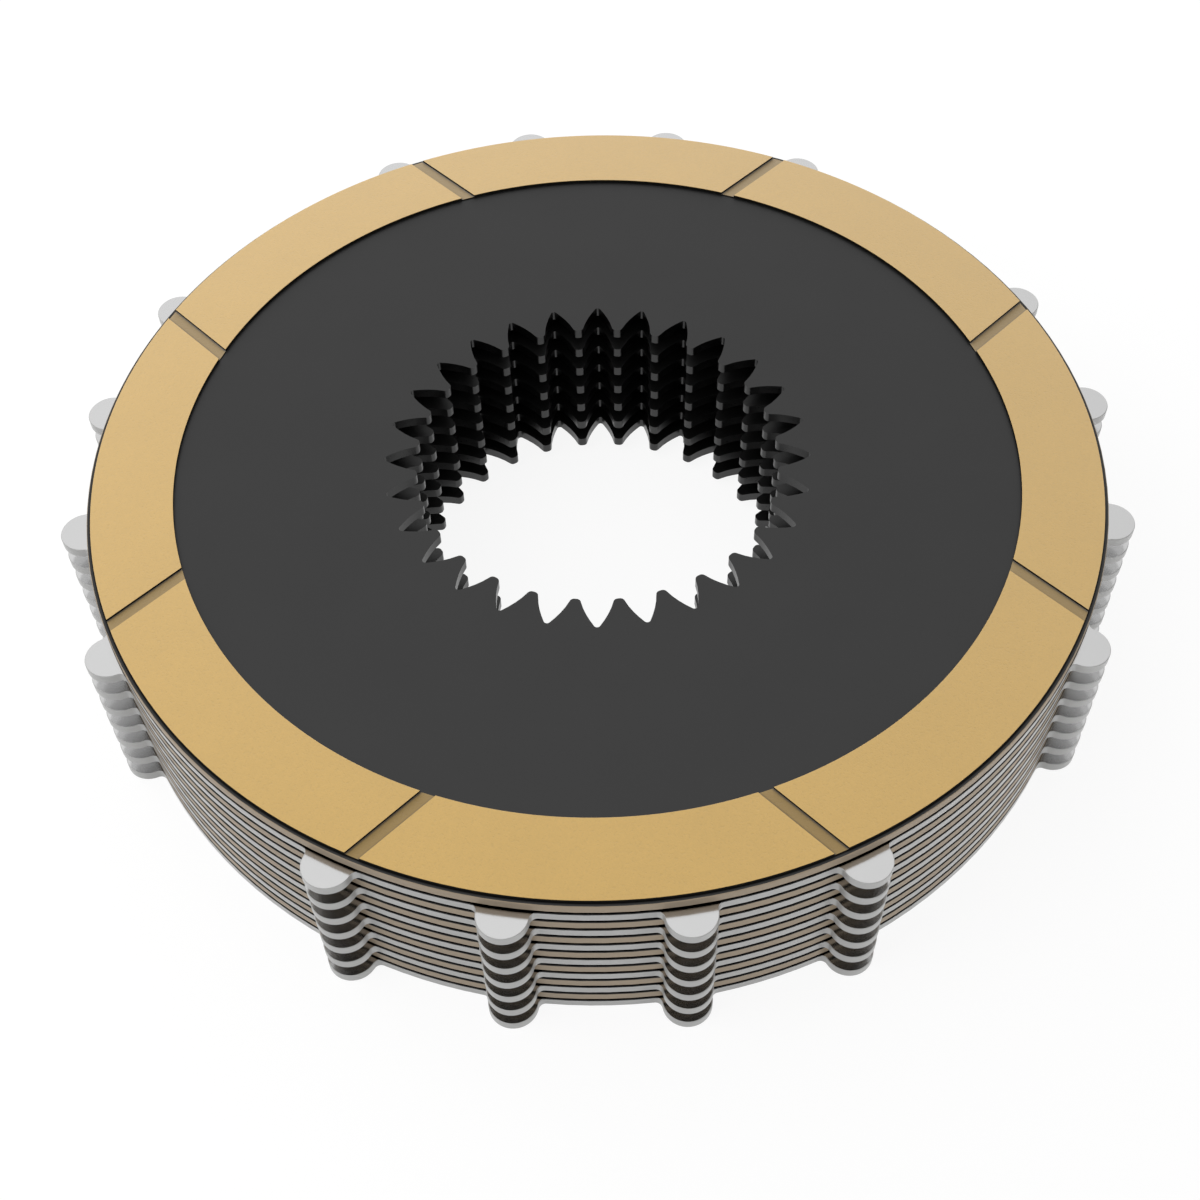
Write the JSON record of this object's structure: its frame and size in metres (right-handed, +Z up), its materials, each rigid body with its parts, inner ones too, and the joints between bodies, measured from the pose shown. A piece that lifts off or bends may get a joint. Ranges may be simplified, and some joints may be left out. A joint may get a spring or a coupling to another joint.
{
  "type": "multi-plate clutch disc pack",
  "caption": "Clutch pack of splined friction discs with grooved linings, stacked alternately with lugged steel separator plates.",
  "frame": {"origin": "middle of the underside of the lowest steel plate, on the clutch's axis", "axes": "+Z up along the clutch's axis, from the lowest steel plate towards the top friction plate; -Y is the front, midway between the two front lugs; +X is to the right"},
  "size_m": [0.1604, 0.1604, 0.0298],
  "materials": {
    "friction_lining": "matt pressed fibre, tan",
    "core_steel": "dark grey phosphated steel, satin",
    "plate_steel": "tumbled bright steel, satin"
  },
  "bodies": {
    "root": {"upper_lining_1": "friction_lining", "friction_core_1": "core_steel", "lower_lining_1": "friction_lining", "steel_plate_1": "plate_steel", "upper_lining_2": "friction_lining", "friction_core_2": "core_steel", "lower_lining_2": "friction_lining", "steel_plate_2": "plate_steel", "upper_lining_3": "friction_lining", "friction_core_3": "core_steel", "lower_lining_3": "friction_lining", "steel_plate_3": "plate_steel", "upper_lining_4": "friction_lining", "friction_core_4": "core_steel", "lower_lining_4": "friction_lining", "steel_plate_4": "plate_steel", "upper_lining_5": "friction_lining", "friction_core_5": "core_steel", "lower_lining_5": "friction_lining", "steel_plate_5": "plate_steel", "upper_lining_6": "friction_lining", "friction_core_6": "core_steel", "lower_lining_6": "friction_lining", "steel_plate_6": "plate_steel", "upper_lining_7": "friction_lining", "friction_core_7": "core_steel", "lower_lining_7": "friction_lining", "steel_plate_7": "plate_steel"}
  },
  "joints": []
}
